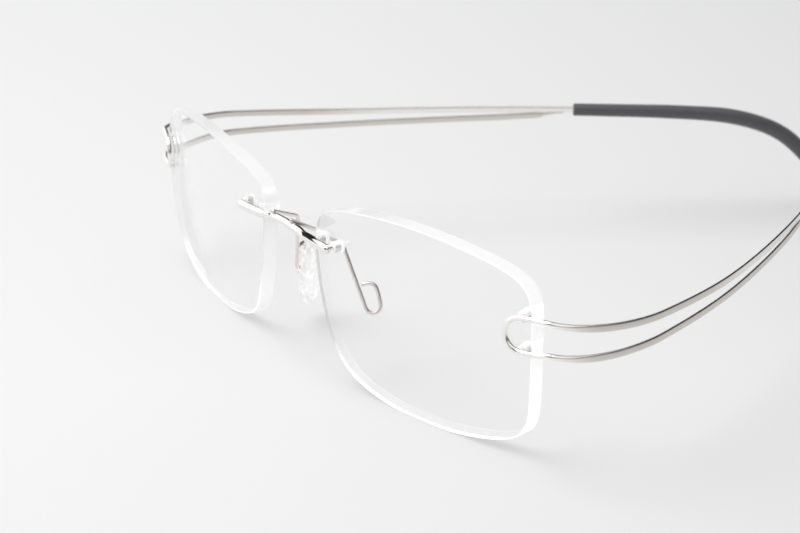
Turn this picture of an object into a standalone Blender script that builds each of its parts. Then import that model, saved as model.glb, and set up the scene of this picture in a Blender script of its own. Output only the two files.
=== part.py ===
"""Rimless wire eyeglasses, modelled as they are assembled on the bench.

Two drilled lenses hang on a short arched bridge.  Each temple is one hairpin of
spring wire: a round loop pinned to the front of the lens, two flat ribbons that
bend round the lens edge and run back, and a soft sleeve over the single end.
There is no barrel hinge: the hairpin itself flexes just behind the lens.

Frame: +X to the wearer's left, +Y from the front towards the wearer's ears, +Z up.
The glasses stand on the flats at the bottom of the lenses and on the two sleeve
tips, and the origin is the middle of that footprint, on the table plane.  The
drawing is laid out from the front and moved to that origin at the end.
The wearer's left side is built, and the right side is its mirror image.  Only the
right wire hook carries its soft nose pad; the left hook is bare.

Sizes are in mm.  A place on the left lens is (side, rise, proud): side from its
centre towards the temple, rise upwards, proud square out of the front surface.
"""
import math

import bmesh
import bpy
import numpy as np
from mathutils import Matrix, Vector

MM = 0.001

# ---------------------------------------------------------------- lenses
LENS_RADIUS = 113.0          # front surface, base-4.7 curve
LENS_THICK = 2.75
LENS_BACK = -LENS_THICK      # proud of the rear surface
LENS_CENTRE = (35.5, 4.3)    # x, y of the left lens's centre
FACE_WRAP = 9.3              # each lens is turned back by this angle, degrees
LEAN = 3.2                   # the lens tops lean forward, degrees
STAND = 16.95                # lens centre above the table
# four bowed sides: direction in degrees, distance from the centre, bow (1/mm)
LENS_SIDES = (
    (90.0, 17.8, 0.0059),    # top
    (-4.4, 26.2, 0.0042),    # temple side
    (-91.3, 17.6, 0.0060),   # bottom
    (199.2, 24.7, 0.0087),   # nose side, nearer the lens centre at the bottom
)
CORNER_POWER = 10.0          # exponent of the corner blend
LENS_TURNS = 80              # steps round the outline
LENS_RINGS = (0.0, 0.4, 0.72, 0.92, 1.0)     # mesh rings, as fractions of the outline
HOLE_R = 1.0
HOLE_SIDES = 20
DRILL_CLEAR = 2.0            # the cutters stand this far out of both lens faces
NOTCH_REACH = 2.5            # from the inner bridge hole out past the nose edge
TABLE_BLOCK = (80.0, 60.0, 20.0)             # cutter that trims the resting flats
LENS_TRIM_Y = 5.0            # middle of that cutter under a lens

# ---------------------------------------------------------------- pins and bushings
PIN_R = 0.5
PIN_SIDES = 12
PIN_END = LENS_BACK - 0.35   # the pins end inside the bushings, behind the lens
BUSH_OUT, BUSH_IN = 0.88, 0.6
BUSH_STEPS = 16
# section of a bushing: radius, proud
BUSH_PROFILE = (
    (0, LENS_BACK - 0.85), (0.6, LENS_BACK - 0.85), (0.92, LENS_BACK - 0.75),
    (1.14, LENS_BACK - 0.45), (1.14, LENS_BACK - 0.15), (BUSH_OUT, LENS_BACK - 0.15),
    (BUSH_OUT, -0.05), (BUSH_IN, -0.05), (BUSH_IN, LENS_BACK - 0.5), (0, LENS_BACK - 0.5),
)

# ---------------------------------------------------------------- temple wires
SURFACE_GAP = 0.15           # wires lie this far off the lens face
LOOP_WIRE_R = 0.48
LOOP_SIDE, LOOP_RISE, LOOP_R = 24.7, 5.15, 2.95      # centre and radius of the U-bend
LOOP_HOLES = ((LOOP_SIDE, LOOP_RISE + LOOP_R), (LOOP_SIDE, LOOP_RISE - LOOP_R))
LOOP_EDGE = (26.2, 27.4)     # each leg's last places on the lens
LEG_START, LEG_STEP = 0.8, 1.5

# plan of the temple from the lens edge: start, heading, then (length, heading at its end);
# heading is measured from +Y, negative outwards, positive inwards, degrees
TEMPLE_START = (63.7, 11.75)
TEMPLE_HEADING = -60.0
TEMPLE_BENDS = ((6.0, -26.5), (16.5, 17.5), (29.0, 26.5), (45.0, 34.5), (40.0, 25.5), (25.0, 17.0))
PLAN_STEPS_PER_MM = 4
# (station along that plan, height over the table) of each ribbon
UPPER_RIBBON = (
    (0, 25.85), (8, 25.15), (20, 24.85), (45, 23.75), (75, 23.35), (100, 23.05),
    (118, 22.35), (130, 20.85), (140, 16.85), (148, 9.4), (156, 0.1), (160, -4.4),
)
LOWER_RIBBON = (
    (0, 20.25), (8, 20.05), (20, 20.75), (45, 20.9), (75, 21.45), (88, 22.0), (95, 22.35),
)
FLEX_AT = 15.6               # station of the flex axis
FLEX_GAP = 0.9               # wire left out of the solids at the flex axis
FLEX_ORIGIN_Z = 23.0         # height of the temple's origin on that axis

RIBBON_THICK, RIBBON_TALL = 0.5, 1.3
ROUND_THICK, ROUND_TALL = 0.8, 0.9           # the ribbon's near-round front end
FLATTEN_LENGTH = 6.0         # it becomes flat over this length
RIBBON_CORNER = 0.45         # corner radius, as a fraction of the thickness
RIBBON_STEP = 3.0
LOWER_END = 87.5             # the lower ribbon stops here

# the weld leaves the lower ribbon just before its end and climbs to the upper one
WELD_START, WELD_END, WELD_STEP = LOWER_END - 1.5, 92.0, 1.0
WELD_SLOPE = 0.10
WELD_R, WELD_END_R = 0.4, 0.25

SLEEVE_START, TIP_END = 94.3, 156.0
UPPER_END = SLEEVE_START - 0.6
CORE_START, CORE_END = SLEEVE_START - 1.6, 148.0
CORE_STEP = 3.2
CORE_R = 0.42                # wire inside the sleeve
BORE_CLEAR, BORE_EXTRA = 0.16, 0.5           # bore beyond the wire: round it, past its end
# station, sleeve radius
SLEEVE_R = ((SLEEVE_START, 1.32), (104, 1.36), (118, 1.48), (130, 1.62), (142, 1.66), (153, 1.62))
SLEEVE_MOUTH = ((0.0, 0.72), (0.3, 0.93))    # distance from the start, share of the radius
SLEEVE_FULL, SLEEVE_STEP = 0.9, 2.8          # where the full radius begins; ring spacing
TIP_ROUND = 1.6              # length of the rounded tip
TIP_RINGS = (0.35, 0.65, 0.88, 1.0)          # rings along it, as fractions
TIP_LEAST = 0.05             # floor that keeps the last ring open

# ---------------------------------------------------------------- bridge
BRIDGE_MID = (2.3, 9.5)      # y, z at the centre, in the front's upright frame
BRIDGE_R = 0.84
ARCH_X = (0.0, 1.3, 2.6, 3.9, 5.2)
ARCH_HALF, ARCH_BACK, ARCH_DROP = 9.0, 0.10, 1.15    # set back and drop at that half-width
ARCH_SLIM, ARCH_SLIM_TO = 0.08, 4.0          # slimmer by this share at x = 0, full from here on
NECK = ((6.0, 0.76), (6.6, 0.7), (7.2, 0.76))        # x, radius
CLIP_RISE = 8.5
CLIP_END = -19.8
# side, radius of the clip along the lens
CLIP = (
    (-26.6, BRIDGE_R), (-25.0, BRIDGE_R), (-23.0, BRIDGE_R), (-21.6, BRIDGE_R),
    (CLIP_END - 0.75, 0.8), (CLIP_END - 0.3, 0.66), (CLIP_END, 0.28),
)
BRIDGE_HOLES = ((-20.3, 8.75), (-25.5, 8.75))        # drilled hole, open notch

# ---------------------------------------------------------------- pad arm (upright frame)
ARM_R = 0.37
SOLDER_GAP = 0.13
SEAT_POINTS = 6              # bridge points from the middle that the seat follows
ARM_ROOT = Vector((2.9, 1.95, 10.6))         # solder spot on the bridge
ARM_BEND = Vector((8.6, 10.35, 5.87))        # corner between the arm and the hook's leg
ARM_LOW = Vector((12.68, 11.75, -5.15))      # sets the direction of the leg
ARM_CORNER = 0.95            # length rounded off on each side of the corner
LEG_STATIONS = (5.0, 8.7, 11.3)
HOOK_AT, HOOK_R = 12.34, 1.31                # U-bend: centre along the leg, radius
# curled free end of the return leg: along the leg, across it
HOOK_TAIL = (
    (11.14, 2.79), (9.94, 2.87), (9.14, 2.8), (8.64, 2.56), (8.34, 2.15), (8.19, 1.6), (8.04, 0.85),
)
HOOK_LEG = (ARM_LOW - ARM_BEND).normalized()
ACROSS_GUIDE = Vector((0.55, 0.835, 0))      # made square to the leg below
HOOK_ACROSS = (ACROSS_GUIDE - HOOK_LEG * ACROSS_GUIDE.dot(HOOK_LEG)).normalized()

# ---------------------------------------------------------------- nose pad
HOOK_CLEAR = 0.32            # slot beyond the hook wire
PAD_UP = -HOOK_LEG
PAD_WIDE = HOOK_ACROSS
PAD_FACE = HOOK_ACROSS.cross(HOOK_LEG).normalized()  # towards the nose
PAD_MIDDLE = ARM_BEND + HOOK_LEG * 12.04 + HOOK_ACROSS * 1.6     # middle of the hook
CUSHION_CENTRE = PAD_MIDDLE + PAD_FACE * 1.75 + PAD_WIDE * 0.6 - PAD_UP * 3.3
CUSHION_HALF = (7.0, 3.1, 1.65)              # half sizes: up, wide, towards the nose
BOSS_CENTRE = PAD_MIDDLE + PAD_WIDE * 0.75 - PAD_UP * 0.4
BOSS_HALF = (3.5, 1.75, 1.3)

FOOTPRINT_MIDDLE = 75.8      # the origin lies this far behind the layout's front line

# directions of the left lens in the upright frame, and that frame's place on the table
WRAP = math.radians(FACE_WRAP)
LENS_SIDE = Vector((math.cos(WRAP), math.sin(WRAP), 0))
LENS_UP = Vector((0, 0, 1))
LENS_OUT = Vector((math.sin(WRAP), -math.cos(WRAP), 0))
LENS_MIDDLE = Vector((*LENS_CENTRE, 0))
BALL_CENTRE = LENS_MIDDLE - LENS_OUT * LENS_RADIUS   # centre of the lens curvature
TILT = Matrix.Rotation(math.radians(LEAN), 4, 'X')
FRONT_TO_TABLE = Matrix.Translation((0, 0, STAND)) @ TILT

# ---------------------------------------------------------------- scene and materials
for old in list(bpy.data.objects):
    bpy.data.objects.remove(old, do_unlink=True)

parts = bpy.data.collections.new("eyeglasses")
bpy.context.scene.collection.children.link(parts)


def material(name, colour, metallic, roughness, alpha=1.0):
    made = bpy.data.materials.new(name)
    made.use_nodes = True
    inputs = made.node_tree.nodes["Principled BSDF"].inputs
    inputs["Base Color"].default_value = (*colour, 1.0)
    inputs["Metallic"].default_value = metallic
    inputs["Roughness"].default_value = roughness
    inputs["Alpha"].default_value = alpha
    made.diffuse_color = (*colour, alpha)
    return made


LENS_RESIN = material("lens_resin", colour=(0.95, 0.97, 0.98),
                      metallic=0.0, roughness=0.03, alpha=0.25)
STEEL = material("polished_steel", colour=(0.82, 0.81, 0.79), metallic=1.0, roughness=0.12)
SATIN = material("satin_steel", colour=(0.68, 0.65, 0.61), metallic=1.0, roughness=0.3)
BUSHING = material("clear_bushing", colour=(0.95, 0.96, 0.96),
                   metallic=0.0, roughness=0.1, alpha=0.5)
SILICONE = material("clear_silicone", colour=(0.93, 0.93, 0.90),
                    metallic=0.0, roughness=0.25, alpha=0.6)
SLATE = material("slate_sleeve", colour=(0.09, 0.09, 0.10), metallic=0.0, roughness=0.5)


# ---------------------------------------------------------------- object helpers
def new_object(name, data):
    obj = bpy.data.objects.new(name, data)
    parts.objects.link(obj)
    return obj


def object_from(name, bm):
    """Turn a bmesh into a linked object and free it."""
    mesh = bpy.data.meshes.new(name)
    bm.to_mesh(mesh)
    bm.free()
    return new_object(name, mesh)


def finish(obj, surface, sharp_angle=40):
    """Give a piece its material, and smooth shading with sharp edges (degrees)."""
    obj.data.name = obj.name
    obj.data.materials.clear()
    obj.data.materials.append(surface)
    obj.data.shade_smooth()
    obj.data.set_sharp_from_angle(angle=math.radians(sharp_angle))
    return obj


def baked(obj):
    """Replace a curve or a modified object by a welded mesh of the same name."""
    bpy.context.view_layer.update()
    depsgraph = bpy.context.evaluated_depsgraph_get()
    mesh = bpy.data.meshes.new_from_object(obj.evaluated_get(depsgraph))
    bm = bmesh.new()
    bm.from_mesh(mesh)
    bmesh.ops.remove_doubles(bm, verts=bm.verts, dist=0.000001)
    bmesh.ops.recalc_face_normals(bm, faces=bm.faces)
    bm.to_mesh(mesh)
    bm.free()
    name = obj.name
    bpy.data.objects.remove(obj, do_unlink=True)
    return new_object(name, mesh)


def boolean(target, tool, operation):
    """Apply one exact Boolean and remove the tool."""
    tool.hide_render = True
    cut = target.modifiers.new("cut", 'BOOLEAN')
    cut.operation = operation
    cut.solver = 'EXACT'
    cut.object = tool
    result = baked(target)
    bpy.data.objects.remove(tool, do_unlink=True)
    return result


def mirrored(obj):
    """The same piece for the wearer's right side, with its material and shading."""
    name = obj.name.replace("_left", "_right")
    mesh = obj.data.copy()
    mesh.transform(Matrix.Scale(-1, 4, (1, 0, 0)))
    mesh.flip_normals()
    mesh.name = name
    copy = new_object(name, mesh)
    copy.location = (-obj.location.x, obj.location.y, obj.location.z)
    return copy


def set_origin(obj, point):
    """Move the object's origin to a point (mm) without moving the piece."""
    offset = Vector(point) * MM
    obj.data.transform(Matrix.Translation(-offset))
    obj.location = offset


def placement(point, direction):
    """Matrix that sets a local origin at a point (mm) and local Z along a direction."""
    turn = direction.to_track_quat('Z', 'Y').to_matrix().to_4x4()
    return Matrix.Translation(point * MM) @ turn


# ---------------------------------------------------------------- solids
def wire(name, points, radii, sides=8):
    """Round wire along points: a poly curve with a bevel and filled caps."""
    if not isinstance(radii, (list, tuple)):
        radii = [radii] * len(points)
    largest = max(radii)
    curve = bpy.data.curves.new(name, 'CURVE')
    curve.dimensions = '3D'
    curve.bevel_resolution = (sides - 4) // 2
    curve.use_fill_caps = True
    curve.bevel_depth = largest * MM
    spline = curve.splines.new('POLY')
    spline.points.add(len(points) - 1)
    for knot, point, radius in zip(spline.points, points, radii):
        knot.co = (*(Vector(point) * MM), 1.0)
        knot.radius = radius / largest
    return baked(new_object(name, curve))


def loft(name, rings):
    """Skin between closed rings of unlike section; both ends are capped."""
    bm = bmesh.new()
    rows = [[bm.verts.new(Vector(point) * MM) for point in ring] for ring in rings]
    count = len(rows[0])
    for row, following in zip(rows, rows[1:]):
        for i in range(count):
            j = (i + 1) % count
            bm.faces.new((row[i], row[j], following[j], following[i]))
    bm.faces.new(rows[0][::-1])
    bm.faces.new(rows[-1])
    bmesh.ops.recalc_face_normals(bm, faces=bm.faces)
    return object_from(name, bm)


def box(name, size, place):
    """Box of a size (mm) centred at a placement matrix."""
    bm = bmesh.new()
    bmesh.ops.create_cube(bm, size=1.0)
    bm.transform(place @ Matrix.Diagonal((*(Vector(size) * MM), 1)))
    return object_from(name, bm)


def table_block(x, y):
    """Block whose top is the table plane, to trim a resting piece flat."""
    centre = Vector((x, y, -TABLE_BLOCK[2] / 2))
    return box("table_block", TABLE_BLOCK, Matrix.Translation(centre * MM))


def rod(name, hole, top, bottom, radius, sides):
    """Cylinder square to the lens at a hole, between two heights proud of its front."""
    start, end = on_lens(*hole, top), on_lens(*hole, bottom)
    bm = bmesh.new()
    bmesh.ops.create_cone(bm, cap_ends=True, segments=sides, radius1=radius * MM,
                          radius2=radius * MM, depth=(end - start).length * MM)
    bm.transform(placement((start + end) / 2, end - start))
    return object_from(name, bm)


def pin_at(hole, top):
    return rod("pin", hole, top, PIN_END, PIN_R, PIN_SIDES)


# ---------------------------------------------------------------- lens
def on_lens(side, rise, proud=0.0):
    """Table-frame point at a place on the left lens."""
    sag = LENS_RADIUS - math.sqrt(LENS_RADIUS ** 2 - side * side - rise * rise)
    point = LENS_MIDDLE + LENS_SIDE * side + LENS_UP * rise - LENS_OUT * sag
    square = (point - BALL_CENTRE).normalized()
    return FRONT_TO_TABLE @ (point + square * proud)


def outline_radius(angle):
    """Distance from the lens centre to its edge: four bowed sides, blended corners."""
    cosine, sine = math.cos(angle), math.sin(angle)

    def outside(radius):
        total = 0.0
        for direction, reach, bow in LENS_SIDES:
            turn = math.radians(direction)
            along = radius * (cosine * math.cos(turn) + sine * math.sin(turn))
            across = radius * (-cosine * math.sin(turn) + sine * math.cos(turn))
            total += max((along + bow * across * across) / reach, 0.0) ** CORNER_POWER
        return total > 1.0

    low, high = 5.0, 40.0
    for _ in range(50):
        middle = 0.5 * (low + high)
        if outside(middle):
            high = middle
        else:
            low = middle
    return low


def lens_front():
    """Front surface: a ringed disc stretched to the outline and laid on the sphere."""
    bm = bmesh.new()
    line = [bm.verts.new((fraction, 0, 0)) for fraction in LENS_RINGS]
    edges = [bm.edges.new(pair) for pair in zip(line, line[1:])]
    bmesh.ops.spin(bm, geom=line + edges, cent=(0, 0, 0), axis=(0, 0, 1),
                   angle=2 * math.pi, steps=LENS_TURNS, use_merge=False, use_duplicate=False)
    bmesh.ops.remove_doubles(bm, verts=bm.verts, dist=0.0001)
    for vert in bm.verts:
        angle = math.atan2(vert.co.y, vert.co.x)
        reach = outline_radius(angle) * vert.co.xy.length
        vert.co = on_lens(reach * math.cos(angle), reach * math.sin(angle)) * MM
    bmesh.ops.recalc_face_normals(bm, faces=bm.faces)
    surface = object_from("lens_left", bm)
    # the normals must face forward, because the thickness grows against them
    if surface.data.polygons[0].normal.y > 0:
        surface.data.flip_normals()
    return surface


def square_edge(lens):
    """Grind the edge parallel to the lens axis: widen the rear to the front's outline."""
    rear = LENS_RADIUS - LENS_THICK
    upright = FRONT_TO_TABLE.inverted()
    for vert in lens.data.vertices:
        spoke = upright @ (vert.co / MM) - BALL_CENTRE
        if spoke.length < LENS_RADIUS - LENS_THICK / 2:
            side = spoke.dot(LENS_SIDE) * LENS_RADIUS / rear
            rise = spoke.dot(LENS_UP) * LENS_RADIUS / rear
            out = math.sqrt(rear * rear - side * side - rise * rise)
            moved = BALL_CENTRE + LENS_SIDE * side + LENS_UP * rise + LENS_OUT * out
            vert.co = (FRONT_TO_TABLE @ moved) * MM


def drill(hole):
    return rod("drill", hole, DRILL_CLEAR, LENS_BACK - DRILL_CLEAR, HOLE_R, HOLE_SIDES)


def notch_cutter():
    """The inner bridge hole, opened out through the nose edge by a slot."""
    side, rise = BRIDGE_HOLES[1]
    axes = Matrix((LENS_SIDE, LENS_UP, LENS_OUT)).transposed().to_4x4()
    middle = on_lens(side - NOTCH_REACH / 2, rise, LENS_BACK / 2)
    size = (NOTCH_REACH, 2 * HOLE_R, LENS_THICK + 2 * DRILL_CLEAR)
    slot = box("slot", size, Matrix.Translation(middle * MM) @ TILT @ axes)
    return boolean(drill(BRIDGE_HOLES[1]), slot, 'UNION')


def make_lens():
    lens = lens_front()
    shell = lens.modifiers.new("thickness", 'SOLIDIFY')
    shell.thickness = LENS_THICK * MM
    shell.offset = -1.0
    lens = baked(lens)
    square_edge(lens)
    for hole in (*LOOP_HOLES, BRIDGE_HOLES[0]):
        lens = boolean(lens, drill(hole), 'DIFFERENCE')
    lens = boolean(lens, notch_cutter(), 'DIFFERENCE')
    # flat at the bottom, level with the table
    lens = boolean(lens, table_block(LENS_CENTRE[0], LENS_TRIM_Y), 'DIFFERENCE')
    return finish(lens, LENS_RESIN, 30)


def make_bushing(name, hole):
    """Clear blind bushing: a tube through the lens with a closed, flanged rear."""
    bm = bmesh.new()
    line = [bm.verts.new((radius * MM, 0, proud * MM)) for radius, proud in BUSH_PROFILE]
    for pair in zip(line, line[1:]):
        bm.edges.new(pair)
    bushing = object_from(name, bm)
    screw = bushing.modifiers.new("turn", 'SCREW')
    screw.steps = BUSH_STEPS
    screw.render_steps = BUSH_STEPS
    screw.use_merge_vertices = True
    screw.merge_threshold = 0.000002
    bushing = baked(bushing)
    seat = on_lens(*hole)
    outward = (on_lens(*hole, 1) - seat).normalized()
    bushing.data.transform(placement(seat, outward))
    return finish(bushing, BUSHING)


# ---------------------------------------------------------------- temple
def height(stations, station):
    """Smooth (Hermite) height through (station, height) pairs."""
    last = len(stations) - 1
    i = 0
    while i < last - 1 and station >= stations[i + 1][0]:
        i += 1

    def slope(k):
        before, after = stations[max(k - 1, 0)], stations[min(k + 1, last)]
        return (after[1] - before[1]) / (after[0] - before[0])

    (start, start_z), (end, end_z) = stations[i], stations[i + 1]
    span = end - start
    part = (station - start) / span
    return ((2 * part ** 3 - 3 * part ** 2 + 1) * start_z
            + (part ** 3 - 2 * part ** 2 + part) * span * slope(i)
            + (-2 * part ** 3 + 3 * part ** 2) * end_z
            + (part ** 3 - part ** 2) * span * slope(i + 1))


def plan(station):
    """Plan position (x, y) of the temple at a station."""
    x, y = TEMPLE_START
    heading = TEMPLE_HEADING
    done = 0.0
    for length, end in TEMPLE_BENDS:
        span = min(length, station - done)
        if span <= 0:
            break
        steps = max(2, int(span * PLAN_STEPS_PER_MM))
        for k in range(steps):
            middle = heading + (end - heading) * ((k + 0.5) / steps) * span / length
            x -= math.sin(math.radians(middle)) * span / steps
            y += math.cos(math.radians(middle)) * span / steps
        done += length
        heading = end
    return x, y


def stations_between(start, end, step):
    count = max(1, round((end - start) / step))
    return [start + (end - start) * k / count for k in range(count + 1)]


def temple_point(stations, station):
    return Vector((*plan(station), height(stations, station)))


def temple_path(stations, start, end, step):
    return [temple_point(stations, station) for station in stations_between(start, end, step)]


def make_loop():
    """Round wire: upper leg, U-bend on the lens, lower leg, with two pins behind it."""
    lift = LOOP_WIRE_R + SURFACE_GAP

    def leg(stations, rise):
        edge = [on_lens(side, rise, lift) for side in LOOP_EDGE]
        return edge + temple_path(stations, LEG_START, FLEX_AT - FLEX_GAP / 2, LEG_STEP)

    bend = []
    for k in range(13):
        angle = math.radians(90 + 15 * k)
        bend.append(on_lens(LOOP_SIDE + LOOP_R * math.cos(angle),
                            LOOP_RISE + LOOP_R * math.sin(angle), lift))
    upper_leg = leg(UPPER_RIBBON, LOOP_HOLES[0][1])
    lower_leg = leg(LOWER_RIBBON, LOOP_HOLES[1][1])
    loop = wire("temple_loop_left", upper_leg[::-1] + bend + lower_leg, LOOP_WIRE_R)
    for hole in LOOP_HOLES:
        loop = boolean(loop, pin_at(hole, lift), 'UNION')
    return finish(loop, STEEL)


def section(centre, side, up, thick, tall):
    """Rounded rectangle, thick along side and tall along up, two points a corner."""
    corner = RIBBON_CORNER * thick
    ring = []
    for x_sign, y_sign, start in ((1, 1, 0), (-1, 1, 90), (-1, -1, 180), (1, -1, 270)):
        for k in range(2):
            angle = math.radians(start + 45.0 * (k + 0.5))
            x = x_sign * (thick / 2 - corner) + corner * math.cos(angle)
            y = y_sign * (tall / 2 - corner) + corner * math.sin(angle)
            ring.append(centre + side * x + up * y)
    return ring


def ribbon(name, stations, end):
    """Flat ribbon standing on edge; it starts as near-round wire and flattens."""
    start = FLEX_AT + FLEX_GAP / 2
    points = temple_path(stations, start, end, RIBBON_STEP)
    rings = []
    for i, station in enumerate(stations_between(start, end, RIBBON_STEP)):
        before, after = points[max(i - 1, 0)], points[min(i + 1, len(points) - 1)]
        forward = (after - before).normalized()
        side = forward.cross(Vector((0, 0, 1))).normalized()
        up = side.cross(forward).normalized()
        flat = min(1.0, (station - start) / FLATTEN_LENGTH)
        thick = ROUND_THICK + (RIBBON_THICK - ROUND_THICK) * flat
        tall = ROUND_TALL + (RIBBON_TALL - ROUND_TALL) * flat
        rings.append(section(points[i], side, up, thick, tall))
    return loft(name, rings)


def make_weld():
    """Thin wire from the lower ribbon's end up to the upper ribbon."""
    points = [temple_point(LOWER_RIBBON, station)
              + Vector((0, 0, WELD_SLOPE * (station - WELD_START)))
              for station in stations_between(WELD_START, WELD_END, WELD_STEP)]
    return wire("weld", points, [WELD_R] * (len(points) - 1) + [WELD_END_R])


def make_temple_wire():
    """Both ribbons behind the flex axis, the weld that joins them and the wire in the sleeve."""
    temple = ribbon("temple_wire_left", UPPER_RIBBON, UPPER_END)
    temple = boolean(temple, ribbon("lower", LOWER_RIBBON, LOWER_END), 'UNION')
    temple = boolean(temple, make_weld(), 'UNION')
    core = wire("core", temple_path(UPPER_RIBBON, CORE_START, CORE_END, CORE_STEP), CORE_R)
    return finish(boolean(temple, core, 'UNION'), SATIN, 35)


def make_sleeve():
    """Soft sleeve: a long blind tube with a rounded mouth and a rounded tip."""
    def radius_at(station):
        return float(np.interp(station, *zip(*SLEEVE_R)))

    rings = [(SLEEVE_START + offset, radius_at(SLEEVE_START + offset) * share)
             for offset, share in SLEEVE_MOUTH]
    rings += [(station, radius_at(station)) for station in
              stations_between(SLEEVE_START + SLEEVE_FULL, TIP_END - TIP_ROUND, SLEEVE_STEP)]
    rings += [(TIP_END - TIP_ROUND * (1 - part),
               SLEEVE_R[-1][1] * math.sqrt(max(TIP_LEAST, 1 - part * part)))
              for part in TIP_RINGS]
    points = [temple_point(UPPER_RIBBON, station) for station, _ in rings]
    sleeve = wire("tip_sleeve_left", points, [radius for _, radius in rings], sides=14)
    bore = temple_path(UPPER_RIBBON, CORE_START, CORE_END + BORE_EXTRA, CORE_STEP)
    sleeve = boolean(sleeve, wire("bore", bore, CORE_R + BORE_CLEAR), 'DIFFERENCE')
    # flat under the tip, level with the table
    tip = points[-1]
    sleeve = boolean(sleeve, table_block(tip.x, tip.y), 'DIFFERENCE')
    return finish(sleeve, SLATE, 50)


# ---------------------------------------------------------------- bridge and pad arm
def front(point):
    """Table-frame point from the upright frame of the front."""
    return FRONT_TO_TABLE @ Vector(point)


def bridge_half():
    """Points and radii of the bar's left half: arch, neck at the lens edge, clip."""
    arch = [(x, BRIDGE_R * (1.0 - ARCH_SLIM * (1 - min(1, x / ARCH_SLIM_TO)))) for x in ARCH_X]
    points, radii = [], []
    for x, radius in (*arch, *NECK):
        bow = (x / ARCH_HALF) ** 2
        points.append(front((x, BRIDGE_MID[0] + ARCH_BACK * bow, BRIDGE_MID[1] - ARCH_DROP * bow)))
        radii.append(radius)
    for side, radius in CLIP:
        points.append(on_lens(side, CLIP_RISE, BRIDGE_R + SURFACE_GAP))
        radii.append(radius)
    return points, radii


def make_bridge():
    points, radii = bridge_half()
    right = [Vector((-point.x, point.y, point.z)) for point in points[1:]]
    bar = wire("bridge", right[::-1] + points, radii[1:][::-1] + radii, sides=12)
    for hole in BRIDGE_HOLES:
        left_pin = pin_at(hole, BRIDGE_R)
        right_pin = mirrored(left_pin)
        bar = boolean(bar, left_pin, 'UNION')
        bar = boolean(bar, right_pin, 'UNION')
    return finish(bar, STEEL)


def arm_path():
    """Pad arm from its solder spot on the bridge to the hook's free end."""
    incoming = (ARM_BEND - ARM_ROOT).normalized()
    path = [ARM_ROOT, ARM_ROOT.lerp(ARM_BEND, 0.45), ARM_BEND - incoming * ARM_CORNER]
    for part in (0.25, 0.5, 0.75):
        on_arm = ARM_BEND - incoming * ARM_CORNER * (1 - part)
        on_leg = ARM_BEND + HOOK_LEG * ARM_CORNER * part
        path.append(on_arm.lerp(on_leg, part))
    path += [ARM_BEND + HOOK_LEG * along for along in (ARM_CORNER, *LEG_STATIONS)]
    hook = []
    for k in range(7):
        angle = math.radians(180 - 30 * k)
        hook.append((HOOK_AT + HOOK_R * math.sin(angle), HOOK_R + HOOK_R * math.cos(angle)))
    for along, across in (*hook, *HOOK_TAIL):
        path.append(ARM_BEND + HOOK_LEG * along + HOOK_ACROSS * across)
    return [front(point) for point in path]


def make_pad_arm():
    arm = wire("pad_arm_left", arm_path(), ARM_R)
    # the wire sits astride the bar, its underside hollowed to the bar with a solder gap
    points, radii = bridge_half()
    seat_radii = [radius + SOLDER_GAP for radius in radii[:SEAT_POINTS]]
    seat = wire("seat", points[:SEAT_POINTS], seat_radii, sides=16)
    return finish(boolean(arm, seat, 'DIFFERENCE'), STEEL)


# ---------------------------------------------------------------- nose pad
def blob(name, centre, half, taper, power, lean):
    """Stretched sphere: taper slims its top, power squares it, lean tips its top back."""
    bm = bmesh.new()
    bmesh.ops.create_uvsphere(bm, u_segments=20, v_segments=14, radius=1.0)
    for vert in bm.verts:
        up, wide, out = (math.copysign(abs(value) ** power, value)
                         for value in (vert.co.z, vert.co.x, vert.co.y))
        if taper and up < 0:
            up = -(-up) ** 0.75                      # blunt lower end
        slim = 1.0 - taper * up - 0.4 * taper * up * up
        point = (centre + PAD_UP * (half[0] * up) + PAD_WIDE * (half[1] * wide * slim)
                 + PAD_FACE * (half[2] * out * slim ** 0.6 - lean * up))
        vert.co = front(point) * MM
    bmesh.ops.recalc_face_normals(bm, faces=bm.faces)
    return object_from(name, bm)


def make_nose_pad():
    """Soft pad: a teardrop cushion facing the nose with a boss that holds the hook."""
    pad = blob("nose_pad_left", CUSHION_CENTRE, CUSHION_HALF, taper=0.32, power=1.0, lean=0.25)
    boss = blob("boss", BOSS_CENTRE, BOSS_HALF, taper=0.0, power=0.75, lean=0.0)
    pad = boolean(pad, boss, 'UNION')
    path = arm_path()
    path.append(path[-1] + (path[-1] - path[-2]).normalized() * HOOK_CLEAR)
    # two overlapping cutters, so that neither crosses itself at the curled end
    for stretch in (path[8:-4], path[-7:]):
        pad = boolean(pad, wire("slot", stretch, ARM_R + HOOK_CLEAR), 'DIFFERENCE')
    set_origin(pad, front(PAD_MIDDLE))
    return finish(pad, SILICONE, 60)


# ---------------------------------------------------------------- assembly
make_bridge()
for make in (make_lens, make_pad_arm, make_loop):
    mirrored(make())

left_pad = make_nose_pad()          # drawn on the left hook, fitted to the right one
mirrored(left_pad)
bpy.data.objects.remove(left_pad, do_unlink=True)

for label, place in zip(("temple_bushing_upper", "temple_bushing_lower",
                         "bridge_bushing_outer", "bridge_bushing_inner"),
                        LOOP_HOLES + BRIDGE_HOLES):
    mirrored(make_bushing(label + "_left", place))

# the wire and its sleeve turn about the flex axis
for make in (make_temple_wire, make_sleeve):
    piece = make()
    set_origin(piece, (*plan(FLEX_AT), FLEX_ORIGIN_Z))
    mirrored(piece)

# lay the drawing out around the middle of its footprint
for piece in parts.objects:
    piece.location.y -= FOOTPRINT_MIDDLE * MM
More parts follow.
